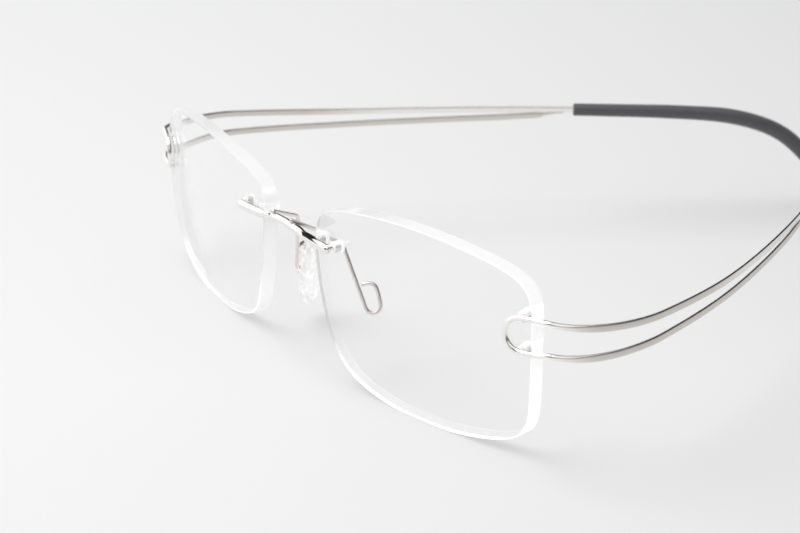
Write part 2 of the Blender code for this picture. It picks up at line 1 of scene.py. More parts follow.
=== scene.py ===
"""Rimless wire eyeglasses: lenses, spring wire temples, sleeves, bridge, pad arms, pad, bushings.

The wearer faces -Y with +Z up, so the wearer's left is +X.  The temples run back along +Y and
all rests on z = 0.  Left pieces are modelled at +X and mirrored for the right.  Lengths are in
mm until a mesh is made.  A place on the left lens is (u, v, w): u away from the nose and v up,
both from the lens centre, and w out from the front face, so that w is negative in the lens.
"""
import math

import bmesh
import bpy
from mathutils import Matrix, Vector


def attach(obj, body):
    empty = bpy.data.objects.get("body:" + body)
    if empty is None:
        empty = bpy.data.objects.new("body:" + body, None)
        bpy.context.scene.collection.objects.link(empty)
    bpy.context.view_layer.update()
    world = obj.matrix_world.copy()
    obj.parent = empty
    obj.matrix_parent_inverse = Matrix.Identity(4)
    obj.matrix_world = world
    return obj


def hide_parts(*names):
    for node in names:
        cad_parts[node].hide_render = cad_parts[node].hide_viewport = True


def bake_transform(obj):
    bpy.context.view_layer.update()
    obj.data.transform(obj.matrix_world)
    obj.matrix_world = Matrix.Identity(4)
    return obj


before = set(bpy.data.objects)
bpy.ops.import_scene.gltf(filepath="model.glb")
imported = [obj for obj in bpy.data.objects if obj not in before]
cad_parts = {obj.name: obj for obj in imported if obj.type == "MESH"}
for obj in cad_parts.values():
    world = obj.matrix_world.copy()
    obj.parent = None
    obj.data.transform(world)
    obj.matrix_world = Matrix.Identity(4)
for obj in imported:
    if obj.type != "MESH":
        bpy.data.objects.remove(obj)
bpy.context.view_layer.update()
MM = 0.001

# ---------------------------------------------------------------- design (mm, degrees)
# lenses
LENS_RADIUS = 113.0             # front sphere
LENS_THICK = 2.75
LENS_CENTRE = (35.5, 4.3)       # x, y
FACE_WRAP = 9.3                 # turn of each lens about Z
LEAN = 3.2                      # turn of the whole front about X
STAND = 16.95                   # height of the lens centre
# lens outline: direction of the side, reach from the centre, bow
OUTLINE_SIDES = ((90.0, 17.8, 0.0059), (-4.4, 26.2, 0.0042),
                 (-91.3, 17.6, 0.0060), (199.2, 24.7, 0.0087))
OUTLINE_CORNER = 10.0           # higher gives sharper corners between the sides
BEVEL_IN, BEVEL_DOWN = 0.16, 0.12
EDGE_DEPTHS = (-0.75, -1.25, -1.75)
EDGE_BULGE = 0.02
# rings on each face, as parts of the outline's reach
FACE_RINGS = (0.12, 0.26, 0.4, 0.53, 0.65, 0.75, 0.84, 0.915, 0.965)
LENS_TURNS = 300
HOLE_RADIUS = 1.0
CUT_MARGIN = 2.0                # how far the cutters stand out of each face

# temple spring: a U-bend on the lens, two legs and two ribbons
WIRE_RADIUS = 0.48
RIBBON_HALF = (0.25, 0.65)      # half thickness, half height
RIBBON_POWER = 3.1              # super-ellipse exponent; 2 is an ellipse
CORE_RADIUS = 0.42              # wire inside the sleeve
SURFACE_GAP = 0.15              # metal to lens face
WIRE_LIFT = WIRE_RADIUS + SURFACE_GAP
LOOP_U, LOOP_V, LOOP_RADIUS = 24.7, 5.15, 2.95
LOOP_HOLES = ((LOOP_U, LOOP_V + LOOP_RADIUS), (LOOP_U, LOOP_V - LOOP_RADIUS))
LOOP_STATION = -4.0             # station given to the whole U-bend
# start of each leg on the lens: u, station
LEG_ON_LENS = ((LOOP_U, LOOP_STATION), (25.4, -3.3), (26.2, -2.5), (27.4, -1.0))
LEG_STATIONS = (0.8, 1.6, 2.6, 3.8, 5.0, 6.5)
# temple in plan: stations are lengths along it, headings turn from +Y towards -X
TEMPLE_START = (63.7, 11.75)
TEMPLE_HEADING = -60.0
# length of each bend, heading at its end
TEMPLE_BENDS = ((6.0, -26.5), (16.5, 17.5), (29.0, 26.5), (45.0, 34.5), (40.0, 25.5), (25.0, 17.0))
# temple in side view: station, height of the centre line
UPPER_RIBBON = ((0, 25.85), (8, 25.15), (20, 24.85), (45, 23.75), (75, 23.35), (100, 23.05),
                (118, 22.35), (130, 20.85), (140, 16.85), (148, 9.4), (156, 0.1), (160, -4.4))
LOWER_RIBBON = ((0, 20.25), (8, 20.05), (20, 20.75), (45, 20.9), (75, 21.45), (88, 22.0),
                (95, 22.35))
LOWER_END = 86.7                # the lower ribbon thins to a tongue from here
WELD_END = 92.0                 # end of the tongue
TONGUE_STEPS = 9
TONGUE_DROP = 0.62              # tongue below the upper ribbon's centre line
FLEX_STATIONS = (3.0, 29.0)     # stations for where the spring passes from front to temple; their points are worked out but not used
FLEX_HEIGHT = 23.0

# sleeve
SLEEVE_START = 94.3
CORE_START = SLEEVE_START - 0.4
CORE_END = 148.0
TIP_END = 156.0
TIP_DOME = 1.7
# station, radius
SLEEVE_RADII = ((SLEEVE_START, 1.32), (104, 1.36), (118, 1.48), (130, 1.62), (142, 1.66),
                (153, 1.62))
BORE_RADIUS = 0.78
BORE_DEPTH = 2.2
MOUTH_ROLL = 0.3

# pins and bushings
PIN_RADIUS = 0.5
PIN_END = 0.3                   # pin behind the lens
BUSH_OUTER, BUSH_INNER = 0.88, 0.6

# bridge
BRIDGE_MID = (2.3, 9.5)         # y, z in the front frame
BRIDGE_RADIUS = 0.84
ARCH_SPAN = 9.0
ARCH_BACK, ARCH_DROP = 0.10, 1.15                   # change of y and z at the span
ARCH_X = (0.0, 1.3, 2.6, 3.9, 5.2)
NECK = ((6.0, 0.76), (6.6, 0.7), (7.2, 0.76))       # x, radius
CLIP_V = 8.5
CLIP_U = (-26.6, -25.0, -23.0, -21.6, -19.8 - BRIDGE_RADIUS)
BRIDGE_HOLE = (-20.3, 8.75)
NOTCH_END = (-25.5, 8.75)       # centre of the notch's round end

# pad arm, in the front frame
ARM_RADIUS = 0.37
ARM_ROOT = Vector((2.9, 1.95, 10.6))
ARM_BEND = Vector((8.6, 10.35, 5.87))
ARM_LOW = Vector((12.68, 11.75, -5.15))             # the leg points from the bend to here
BEND_REACH = 0.95
LEG_LENGTHS = (BEND_REACH, 5.0, 8.7, 11.3)
HOOK_CENTRE, HOOK_RADIUS = 12.34, 1.31
# way back up from the hook: along the leg, across it
HOOK_RETURN = ((11.14, 2.79), (9.94, 2.87), (9.14, 2.8), (8.64, 2.56), (8.34, 2.15), (8.19, 1.6),
               (8.04, 0.85))

# nose pad: half sizes are tall, wide, thick
PAD_MIDDLE = (12.04, 1.6)       # along the arm's leg, across it
PAD_HALF = (7.0, 3.1, 1.65)
PAD_TAPER, PAD_LEAN = 0.32, 0.25
BOSS_HALF = (3.5, 1.75, 1.3)
BOSS_POWER = 0.75               # below 1 squares the ball off
HOOK_CLEAR = 0.32
SLOT_RADIUS = ARM_RADIUS + HOOK_CLEAR - 0.06

FOOTPRINT_MIDDLE = 75.8         # the footprint's y before it is centred
HOME = Matrix.Translation((0, -FOOTPRINT_MIDDLE, 0))
FRONT_FRAME = (HOME @ Matrix.Translation((0, 0, STAND))
               @ Matrix.Rotation(math.radians(LEAN), 4, 'X'))
WRAP = math.radians(FACE_WRAP)
LENS_U = Vector((math.cos(WRAP), math.sin(WRAP), 0))
LENS_OUT = Vector((math.sin(WRAP), -math.cos(WRAP), 0))
LENS_V = Vector((0, 0, 1))
CENTRE = Vector((*LENS_CENTRE, 0))
BALL = CENTRE - LENS_OUT * LENS_RADIUS              # centre of both lens spheres
FACE_NORMAL = (FRONT_FRAME.to_3x3() @ LENS_OUT).normalized()

collection = bpy.context.scene.collection


# ---------------------------------------------------------------- design curves
def on_lens(u, v, w=0.0):
    """Point w out from the front face, square to it at (u, v)."""
    sag = LENS_RADIUS - math.sqrt(LENS_RADIUS ** 2 - u * u - v * v)
    point = CENTRE + LENS_U * u + LENS_V * v - LENS_OUT * sag
    return FRONT_FRAME @ (point + (point - BALL).normalized() * w)


def through_lens(u, v, w):
    """Point along the lens axis from (u, v), on the sphere w outside the front one."""
    radius = LENS_RADIUS + w
    depth = math.sqrt(radius * radius - u * u - v * v)
    return FRONT_FRAME @ (BALL + LENS_U * u + LENS_V * v + LENS_OUT * depth)


def front(x, y, z):
    return FRONT_FRAME @ Vector((x, y, z))


def outline_radius(angle):
    """Reach of the lens outline at an angle, by bisection."""
    cosine, sine = math.cos(angle), math.sin(angle)

    def level(radius):
        total = 0.0
        for direction, reach, bow in OUTLINE_SIDES:
            turn = math.radians(direction)
            along = radius * (cosine * math.cos(turn) + sine * math.sin(turn))
            across = radius * (-cosine * math.sin(turn) + sine * math.cos(turn))
            total += max((along + bow * across * across) / reach, 0.0) ** OUTLINE_CORNER
        return total - 1.0

    low, high = 5.0, 40.0
    for _ in range(50):
        middle = 0.5 * (low + high)
        if level(middle) > 0:
            high = middle
        else:
            low = middle
    return low


def hermite(t, start, start_slope, end, end_slope):
    return ((2 * t ** 3 - 3 * t ** 2 + 1) * start + (t ** 3 - 2 * t ** 2 + t) * start_slope
            + (-2 * t ** 3 + 3 * t ** 2) * end + (t ** 3 - t ** 2) * end_slope)


def height(stations, s):
    """Height at station s on a smooth curve through (station, height) pairs."""
    last = len(stations) - 1
    i = next((k for k in range(last - 1) if s < stations[k + 1][0]), last - 1)

    def slope(k):
        before, after = stations[max(k - 1, 0)], stations[min(k + 1, last)]
        return (after[1] - before[1]) / (after[0] - before[0])

    (s_low, z_low), (s_high, z_high) = stations[i], stations[i + 1]
    span = s_high - s_low
    return hermite((s - s_low) / span, z_low, span * slope(i), z_high, span * slope(i + 1))


def plan(s):
    """x, y and heading of the temple at station s; its start for stations below zero."""
    x, y = TEMPLE_START
    heading = TEMPLE_HEADING
    done = 0.0
    for length, end in TEMPLE_BENDS:
        span = min(length, s - done)
        if span <= 0:
            break
        steps = max(2, int(span * 4))
        for k in range(steps):
            middle = heading + (end - heading) * ((k + 0.5) / steps) * span / length
            x -= math.sin(math.radians(middle)) * span / steps
            y += math.cos(math.radians(middle)) * span / steps
        heading += (end - heading) * span / length
        done += length
    return x, y, heading


def temple_point(stations, s):
    x, y, _ = plan(s)
    return HOME @ Vector((x, y, height(stations, s)))


def between(start, end, step):
    """Even stations from start to end, about a step apart."""
    count = max(1, round((end - start) / step))
    return [start + (end - start) * k / count for k in range(count + 1)]


def ease(t):
    t = min(1.0, max(0.0, t))
    return t * t * (3 - 2 * t)


def lerp(start, end, t):
    return start + (end - start) * t


def signed_power(value, power):
    return math.copysign(abs(value) ** power, value)


# ---------------------------------------------------------------- mesh helpers
def smooth_path(points, step, values=None):
    """Centripetal Catmull-Rom through the points, with a value per point carried along."""
    values = values or [0.0] * len(points)
    knots = [2 * points[0] - points[1], *points, 2 * points[-1] - points[-2]]
    levels = [values[0], *values, values[-1]]
    path, carried = [], []

    def mix(a, b, at_a, at_b, t):
        return a * ((at_b - t) / (at_b - at_a)) + b * ((t - at_a) / (at_b - at_a))

    for i in range(1, len(knots) - 2):
        p0, p1, p2, p3 = knots[i - 1:i + 3]
        v0, v1, v2, v3 = levels[i - 1:i + 3]
        t0 = 0.0
        t1 = t0 + max((p1 - p0).length, 1e-6) ** 0.5
        t2 = t1 + max((p2 - p1).length, 1e-6) ** 0.5
        t3 = t2 + max((p3 - p2).length, 1e-6) ** 0.5
        count = max(2, math.ceil((p2 - p1).length / step))
        for k in range(count):
            t = t1 + (t2 - t1) * k / count
            middle = mix(p1, p2, t1, t2, t)
            before = mix(mix(p0, p1, t0, t1, t), middle, t0, t2, t)
            after = mix(middle, mix(p2, p3, t2, t3, t), t1, t3, t)
            path.append(mix(before, after, t1, t2, t))
            carried.append(hermite(k / count, v1, (v2 - v0) / 2, v2, (v3 - v1) / 2))
    path.append(points[-1].copy())
    carried.append(values[-1])
    return path, carried


def as_object(bm, name, recalc=True):
    """Close the bmesh into a linked object, with its normals turned outwards if asked."""
    if recalc:
        bmesh.ops.recalc_face_normals(bm, faces=bm.faces)
    mesh = bpy.data.meshes.new(name)
    bm.to_mesh(mesh)
    bm.free()
    return link_mesh(mesh, name)


def link_mesh(mesh, name):
    obj = bpy.data.objects.new(name, mesh)
    collection.objects.link(obj)
    return obj


def around(low, high):
    """Corners of each quad between two closed rows of vertices."""
    for k in range(len(low)):
        j = (k + 1) % len(low)
        yield low[k], low[j], high[j], high[k]


def tangent_at(path, i):
    return (path[min(i + 1, len(path) - 1)] - path[max(i - 1, 0)]).normalized()


DOME_STEPS = (0.06, 0.2, 0.38, 0.6, 0.82)


def sweep(name, path, shapes, guides, sides=28, domes=(0.0, 0.0), marks=None):
    """Skin a path with super-ellipse sections.

    shapes: per point (half thickness, half height, exponent); guides: per point the thickness
    direction; domes: length over which each end rounds off; marks: per point value kept as the
    attribute 'finish'.  UVs hold the length along the path in mm and 0 to 4 round the section.
    """
    runs = [0.0]
    for a, b in zip(path, path[1:]):
        runs.append(runs[-1] + (b - a).length)
    marks = marks or [0.0] * len(path)
    bm = bmesh.new()
    uv = bm.loops.layers.uv.new("UVMap")
    finish_and_sheen = bm.verts.layers.float.new("finish_and_sheen")
    rows, row_runs = [], []

    def ring(i, fullness=1.0, dome=0.0):
        """Section i, or a smaller one on the dome beyond it; dome is signed along the path."""
        tangent = tangent_at(path, i)
        side = (guides[i] - tangent * guides[i].dot(tangent)).normalized()
        up = tangent.cross(side).normalized()
        size = math.sqrt(1 - (1 - fullness) ** 2)
        half_thick, half_high, power = shapes[i]
        power = lerp(2.0, power, fullness)
        centre = path[i] + tangent * dome * (1 - fullness)
        row = []
        for k in range(sides):
            angle = 2 * math.pi * (k + 0.5) / sides
            x = half_thick * size * signed_power(math.cos(angle), 2 / power)
            y = half_high * size * signed_power(math.sin(angle), 2 / power)
            vert = bm.verts.new((centre + side * x + up * y) * MM)
            vert[finish_and_sheen] = marks[i]
            row.append(vert)
        rows.append(row)
        row_runs.append(runs[i] + dome * (1 - fullness))

    if domes[0]:
        for fullness in DOME_STEPS:
            ring(0, fullness, -domes[0])
    for i in range(len(path)):
        ring(i)
    if domes[1]:
        for fullness in reversed(DOME_STEPS):
            ring(len(path) - 1, fullness, domes[1])
    for low, high, run, next_run in zip(rows, rows[1:], row_runs, row_runs[1:]):
        for k, corners in enumerate(around(low, high)):
            face = bm.faces.new(corners)
            face.smooth = True
            places = ((run, k), (run, k + 1), (next_run, k + 1), (next_run, k))
            for loop, (along, turn) in zip(face.loops, places):
                loop[uv].uv = (along, turn * 4.0 / sides)
    for row in (rows[0], rows[-1]):
        bm.faces.new(row).smooth = True
    return as_object(bm, name)


def round_wire(name, path, radii, guide=(0.3, 0.2, 1.0), sides=24, domes=(0.0, 0.0)):
    """Round section along a path, whose start on the section turns with it and never twists."""
    if not isinstance(radii, list):
        radii = [radii] * len(path)
    guides = []
    hint = Vector(guide)
    for i in range(len(path)):
        tangent = tangent_at(path, i)
        hint = (hint - tangent * hint.dot(tangent)).normalized()
        guides.append(hint)
    return sweep(name, path, [(r, r, 2.0) for r in radii], guides, sides, domes)


def lathe(name, profile, turns=48):
    """Turn a (radius, height) profile about Z; it starts and ends on the axis."""
    bm = bmesh.new()
    rows = []
    for radius, z in profile:
        if radius < 1e-6:
            rows.append([bm.verts.new((0, 0, z * MM))])
        else:
            angles = [2 * math.pi * k / turns for k in range(turns)]
            rows.append([bm.verts.new((radius * MM * math.cos(a), radius * MM * math.sin(a), z * MM))
                         for a in angles])
    for low, high in zip(rows, rows[1:]):
        for k in range(turns):
            j = (k + 1) % turns
            if len(low) == 1:
                corners = (low[0], high[k], high[j])
            elif len(high) == 1:
                corners = (low[k], high[0], low[j])
            else:
                corners = (low[k], high[k], high[j], low[j])
            bm.faces.new(corners).smooth = True
    return as_object(bm, name)


def rounded(points, radius, steps=3):
    """Round the corners of a profile polyline."""
    points = [Vector(p) for p in points]
    out = [points[0]]
    for a, b, c in zip(points, points[1:], points[2:]):
        reach = min(radius, (b - a).length * 0.45, (c - b).length * 0.45)
        start = b + (a - b).normalized() * reach
        end = b + (c - b).normalized() * reach
        for k in range(steps + 1):
            t = k / steps
            out.append(start.lerp(b, t).lerp(b.lerp(end, t), t))
    out.append(points[-1])
    return [(p.x, p.y) for p in out]


def freeze(obj):
    """Apply the modifiers and keep the object."""
    bpy.context.view_layer.update()
    depsgraph = bpy.context.evaluated_depsgraph_get()
    mesh = bpy.data.meshes.new_from_object(obj.evaluated_get(depsgraph))
    obj.modifiers.clear()
    old = obj.data
    obj.data = mesh
    mesh.name = obj.name
    bpy.data.meshes.remove(old)


def cut(obj, tool, operation='DIFFERENCE'):
    """Boolean with a tool object, which is then removed."""
    boolean = obj.modifiers.new("cut", 'BOOLEAN')
    boolean.operation = operation
    boolean.solver = 'EXACT'
    boolean.object = tool
    freeze(obj)
    bpy.data.objects.remove(tool, do_unlink=True)


def mirror_mesh(mesh):
    mesh.transform(Matrix.Scale(-1, 4, (1, 0, 0)))
    mesh.flip_normals()


def flip_side(obj, name):
    """Mirror copy for the wearer's right side."""
    mesh = obj.data.copy()
    mirror_mesh(mesh)
    out = bpy.data.objects.new(name, mesh)
    mesh.name = name
    collection.objects.link(out)
    return out


def dress(obj, material, sharp_angle=None):
    obj.data.materials.clear()
    obj.data.materials.append(material)
    obj.data.shade_smooth()
    if sharp_angle:
        obj.data.set_sharp_from_angle(angle=math.radians(sharp_angle))
    return obj


# ---------------------------------------------------------------- node helpers
class Nodes:
    """Short hand for building a node tree."""

    def __init__(self, tree):
        self.tree = tree
        tree.nodes.clear()

    def node(self, kind, inputs=None, **props):
        """Add a shader node; an input may be a value, a socket or a node (its first output)."""
        node = self.tree.nodes.new("ShaderNode" + kind)
        for key, value in props.items():
            setattr(node, key, value)
        for key, value in (inputs or {}).items():
            if isinstance(value, bpy.types.Node):
                value = value.outputs[0]
            if isinstance(value, bpy.types.NodeSocket):
                self.tree.links.new(value, node.inputs[key])
            else:
                node.inputs[key].default_value = value
        return node

    def math(self, operation, a, b=0.0):
        return self.node("Math", {0: a, 1: b}, operation=operation).outputs[0]

    def chain(self, operation, first, *others):
        for other in others:
            first = self.math(operation, first, other)
        return first

    def times(self, *values):
        return self.chain('MULTIPLY', *values)

    def plus(self, *values):
        return self.chain('ADD', *values)

    def minus(self, *values):
        return self.chain('SUBTRACT', *values)

    def line(self, value, slope, level):
        inputs = {0: value, 1: slope, 2: level}
        return self.node("Math", inputs, operation='MULTIPLY_ADD').outputs[0]

    def ramp(self, value, span, to=(0.0, 1.0), smooth=False):
        """Map the span onto another range, held at both ends."""
        inputs = {'Value': value, 'From Min': span[0], 'From Max': span[1],
                  'To Min': to[0], 'To Max': to[1]}
        kind = 'SMOOTHSTEP' if smooth else 'LINEAR'
        return self.node("MapRange", inputs, interpolation_type=kind).outputs['Result']

    def dot(self, vector, direction):
        inputs = {0: vector, 1: direction}
        return self.node("VectorMath", inputs, operation='DOT_PRODUCT').outputs['Value']

    def axes(self, vector):
        return tuple(self.node("SeparateXYZ", {0: vector}).outputs)

    def object_place(self):
        return self.node("TexCoord").outputs['Object']

    def noise(self, vector, scale, detail, roughness=0.5):
        return self.node("TexNoise", {'Vector': vector, 'Scale': scale, 'Detail': detail,
                                      'Roughness': roughness}).outputs['Fac']

    def bump(self, height, strength, distance):
        return self.node("Bump", {'Height': height, 'Strength': strength, 'Distance': distance})

    def mix(self, factor, a, b, kind='RGBA'):
        inputs = {'Factor': factor, 'A': a, 'B': b}
        return self.node("Mix", inputs, data_type=kind).outputs['Result']

    def mix_shader(self, factor, a, b):
        return self.node("MixShader", {'Fac': factor, 1: a, 2: b})

    def output(self, shader, kind="OutputMaterial"):
        self.node(kind, {'Surface': shader})


def rgb(red, green, blue):
    return (red, green, blue, 1.0)


def grey(level):
    return rgb(level, level, level)


def new_material(name):
    material = bpy.data.materials.new(name)
    material.use_nodes = True
    return material, Nodes(material.node_tree)


def light_through(n, shader, tint):
    """Let shadow and diffuse rays go straight through with a grey tint."""
    path = n.node("LightPath")
    clear = n.node("BsdfTransparent", {'Color': grey(tint)})
    either = n.math('MAXIMUM', path.outputs['Is Shadow Ray'], path.outputs['Is Diffuse Ray'])
    return n.mix_shader(either, shader, clear)


def milky(n, colour, through, glow, rough=0.0, **surface):
    """Diffuse body that lets some light through, with painted light added: an emission of its own.
    """
    skin = n.node("BsdfDiffuse", {'Color': colour, 'Roughness': rough, **surface})
    back_lit = n.node("BsdfTranslucent", {'Color': colour, **surface})
    body = n.mix_shader(through, skin, back_lit)
    painted_light = n.node("Emission", {'Color': grey(1.0), 'Strength': glow})
    return n.node("AddShader", {0: body, 1: painted_light})


# ---------------------------------------------------------------- materials
def make_lens_material():
    material, n = new_material("lens_resin")
    streaks = n.noise(n.object_place(), scale=90.0, detail=2.0)
    tint = n.mix(streaks, grey(0.991), rgb(0.986, 0.987, 0.988))
    glass = n.node("BsdfPrincipled", {
        'Base Color': tint, 'Roughness': 0.0, 'IOR': 1.5, 'Transmission Weight': 1.0})
    n.output(light_through(n, glass, tint=0.984))
    return material


def make_edge_material():
    """Ground lens edge.

    Its own light stands in for light carried inside the lens and suits the main view only.  It
    depends on the way the edge faces and on the lens: the one at +X is near the camera.
    """
    material, n = new_material("lens_ground_edge")
    grain = n.noise(n.object_place(), scale=9000.0, detail=3.0)
    bump = n.bump(grain, strength=0.25, distance=0.00004)
    geometry = n.node("NewGeometry")
    outward = n.minus(1.0, n.times(geometry.outputs['Backfacing'], 2.0))
    normal = n.node("VectorMath", {0: geometry.outputs['True Normal'], 'Scale': outward},
                    operation='SCALE').outputs['Vector']
    face_x, face_y, face_z = n.axes(normal)
    place_x = n.axes(geometry.outputs['Position'])[0]
    near = n.ramp(place_x, span=(-0.01, 0.01), smooth=True)
    away = n.minus(1.0, near)

    # main glow: brighter towards +X, held above a floor, weaker underneath
    least_glow = 0.02
    far_glow = n.line(face_x, slope=0.20, level=0.11)
    near_extra = n.line(face_x, slope=0.07, level=0.13)
    glow = n.math('MAXIMUM', n.plus(far_glow, n.times(near, near_extra)), least_glow)
    glow = n.times(glow, n.ramp(face_z, span=(-0.9, -0.4), to=(0.3, 1.0)))

    # clearer and dimmer where it faces -X and along the top; less so on the near lens
    clear_start, near_shift, clear_dimming = 0.35, 0.30, 0.9
    start = n.minus(clear_start, n.times(near, near_shift))
    clear = n.times(n.ramp(n.minus(start, face_x), span=(0.0, 0.5), smooth=True),
                    n.ramp(face_z, span=(-0.5, -0.2)))
    glow = n.times(glow, n.minus(1.0, n.times(clear, clear_dimming)))

    # the far lens's upper edge towards the nose, then the underside of both lenses
    corner = n.times(n.ramp(place_x, span=(-0.034, -0.024), to=(0.0, 0.15)),
                     n.ramp(face_z, span=(0.3, 0.6)))
    near_base = n.times(near, n.ramp(face_z, span=(-0.35, -0.9), to=(0.0, 0.65)))
    far_base = n.times(away, n.times(n.ramp(face_z, span=(-0.5, -0.9), to=(0.0, 0.22)),
                                     n.ramp(face_x, span=(0.4, 0.1))))
    glow = n.plus(n.plus(glow, n.times(corner, away)), n.plus(near_base, far_base))

    # painted shade: darker front bevel on the near lens's nose side, and a little darker where it is
    # clear
    full_white, clear_shade = 0.985, 0.02
    nose_bevel_shade = n.times(n.ramp(face_y, span=(-0.3, -0.5), to=(0.0, 0.24)),
                         n.ramp(face_x, span=(-0.3, -0.5)), near,
                         n.ramp(face_z, span=(-0.5, -0.3)))
    level = n.minus(full_white, nose_bevel_shade, n.times(clear, near, clear_shade))
    white = n.node("CombineColor", {0: level, 1: level, 2: level})
    # brighter front bevel along the underside
    bevel_glow = n.times(n.ramp(face_y, span=(-0.3, -0.5)), n.ramp(face_z, span=(-0.2, -0.4)))
    lit = milky(n, white, through=0.42, glow=n.plus(glow, bevel_glow), rough=0.6, Normal=bump)
    glass = n.node("BsdfPrincipled", {
        'Base Color': white, 'Roughness': 0.35, 'IOR': 1.5, 'Transmission Weight': 1.0,
        'Normal': bump})
    glass_share = n.line(n.times(clear, near), slope=0.3, level=0.2)
    n.output(light_through(n, n.mix_shader(glass_share, lit, glass), tint=0.70))
    return material


def make_clear_plastic(name, milk, rough, colour, ior, tint, glow, lump_scale=None):
    """Glass mixed with a milky body by the milk share, plus painted light of the glow's strength;
    lumps bump the glass and vary the glow as a painted sparkle.
    """
    material, n = new_material(name)
    glass = {'Base Color': colour, 'Roughness': rough, 'IOR': ior, 'Transmission Weight': 1.0}
    if lump_scale:
        lumps = n.noise(n.object_place(), scale=lump_scale, detail=2.0, roughness=0.45)
        glass['Normal'] = n.bump(lumps, strength=1.0, distance=0.0003)
        glow = n.ramp(lumps, span=(0.47, 0.63), to=(glow * 1.2, glow * 2.6), smooth=True)
    clear = n.node("BsdfPrincipled", glass)
    lit = milky(n, colour, through=0.5, glow=glow)
    n.output(light_through(n, n.mix_shader(milk, clear, lit), tint))
    return material


def make_polished(name, roughness, tint):
    material, n = new_material(name)
    place = n.object_place()
    smudge = n.noise(place, scale=420.0, detail=4.0)
    fine = n.noise(place, scale=2600.0, detail=2.0)
    metal = n.node("BsdfPrincipled", {
        'Base Color': tint, 'Metallic': 1.0,
        'Roughness': n.ramp(smudge, span=(0.35, 0.7), to=roughness),
        'Normal': n.bump(fine, strength=0.04, distance=0.00005)})
    n.output(metal)
    return material


def make_spring_steel():
    """Polished and lighter on the loop, where the mark is 0; satin, darker and with a drawn grain
    where it is 1. Part of that change of colour is painted sheen.
    """
    material, n = new_material("spring_steel")
    finish_and_sheen = n.node("Attribute", attribute_name="finish_and_sheen").outputs['Fac']
    uv = n.node("UVMap", uv_map="UVMap")
    stretched = n.node("Mapping", {'Vector': uv, 'Scale': (0.35, 26.0, 1.0)}).outputs[0]
    grain = n.noise(stretched, scale=1.0, detail=4.0, roughness=0.6)
    # painted sheen in part: the loop is given a much lighter colour than the ribbons
    colour = n.mix(finish_and_sheen, rgb(0.93, 0.91, 0.885), rgb(0.66, 0.625, 0.59))
    satin = n.ramp(grain, span=(0.3, 0.7), to=(0.17, 0.27))
    polish, grain_depth = 0.6, 0.12         # share of the satin's roughness; bump strength
    metal = n.node("BsdfPrincipled", {
        'Base Color': colour, 'Metallic': 1.0,
        'Roughness': n.mix(finish_and_sheen, n.times(satin, polish), satin, kind='FLOAT'),
        'Normal': n.bump(grain, strength=n.times(finish_and_sheen, grain_depth), distance=0.00003)})
    n.output(metal)
    return material


def make_sleeve_material():
    material, n = new_material("slate_sleeve")
    place = n.object_place()
    cloud = n.noise(place, scale=160.0, detail=3.0)
    pores = n.noise(place, scale=5200.0, detail=2.0)
    soft = n.node("BsdfPrincipled", {
        'Base Color': n.mix(cloud, rgb(0.082, 0.083, 0.092), rgb(0.104, 0.105, 0.115)),
        'Roughness': n.ramp(cloud, span=(0.3, 0.7), to=(0.42, 0.52)),
        'IOR': 1.45, 'Sheen Weight': 0.15, 'Sheen Roughness': 0.5,
        'Normal': n.bump(pores, strength=0.16, distance=0.00004)})
    n.output(soft)
    return material


LENS_MATERIAL = make_lens_material()
EDGE_MATERIAL = make_edge_material()
STEEL = make_polished("polished_steel", roughness=(0.05, 0.11), tint=rgb(0.86, 0.85, 0.83))
ARM_STEEL = make_polished("arm_wire", roughness=(0.26, 0.36), tint=rgb(0.82, 0.765, 0.745))
SPRING_STEEL = make_spring_steel()
# the bushings and the pad glow with painted light; the pad's lumps vary it into a painted sparkle
BUSHING_PLASTIC = make_clear_plastic("clear_bushing", milk=0.6, rough=0.1, colour=grey(0.985),
                                     ior=1.48, tint=0.8, glow=0.42)
SILICONE = make_clear_plastic("clear_silicone", milk=0.46, rough=0.06,
                              colour=rgb(0.985, 0.985, 0.98), ior=1.41, tint=0.78, glow=0.16,
                              lump_scale=1100.0)
SLEEVE_RUBBER = make_sleeve_material()


# ---------------------------------------------------------------- lenses
def add_lens_materials(obj):
    """Slot 0 is the optical face, slot 1 the ground edge."""
    obj.data.materials.append(LENS_MATERIAL)
    obj.data.materials.append(EDGE_MATERIAL)


def make_drill(u, v):
    start, end = on_lens(u, v, CUT_MARGIN), on_lens(u, v, -LENS_THICK - CUT_MARGIN)
    bm = bmesh.new()
    bmesh.ops.create_cone(bm, cap_ends=True, segments=40, radius1=HOLE_RADIUS * MM,
                          radius2=HOLE_RADIUS * MM, depth=(end - start).length * MM)
    bm.transform(Matrix.Translation((start + end) / 2 * MM)
                 @ (end - start).to_track_quat('Z', 'Y').to_matrix().to_4x4())
    for face in bm.faces:
        face.material_index = 1
    drill = as_object(bm, "drill", recalc=False)
    add_lens_materials(drill)
    return drill


def make_notch_tool():
    """Slot with one round end, open to the nose edge."""
    u, v = NOTCH_END
    angles = [math.radians(-90 + 180 * k / 20) for k in range(21)]
    outline = [(u + HOLE_RADIUS * math.cos(a), v + HOLE_RADIUS * math.sin(a)) for a in angles]
    outline += [(u - 3.0, v + HOLE_RADIUS), (u - 3.0, v - HOLE_RADIUS)]
    bm = bmesh.new()
    top = [bm.verts.new(on_lens(a, b, CUT_MARGIN) * MM) for a, b in outline]
    low = [bm.verts.new(on_lens(a, b, -LENS_THICK - CUT_MARGIN) * MM) for a, b in outline]
    for here, after, low_after, low_here in around(top, low):
        bm.faces.new((here, low_here, low_after, after))
    bm.faces.new(top[::-1])
    bm.faces.new(low)
    for face in bm.faces:
        face.material_index = 1
    notch = as_object(bm, "notch")
    add_lens_materials(notch)
    return notch


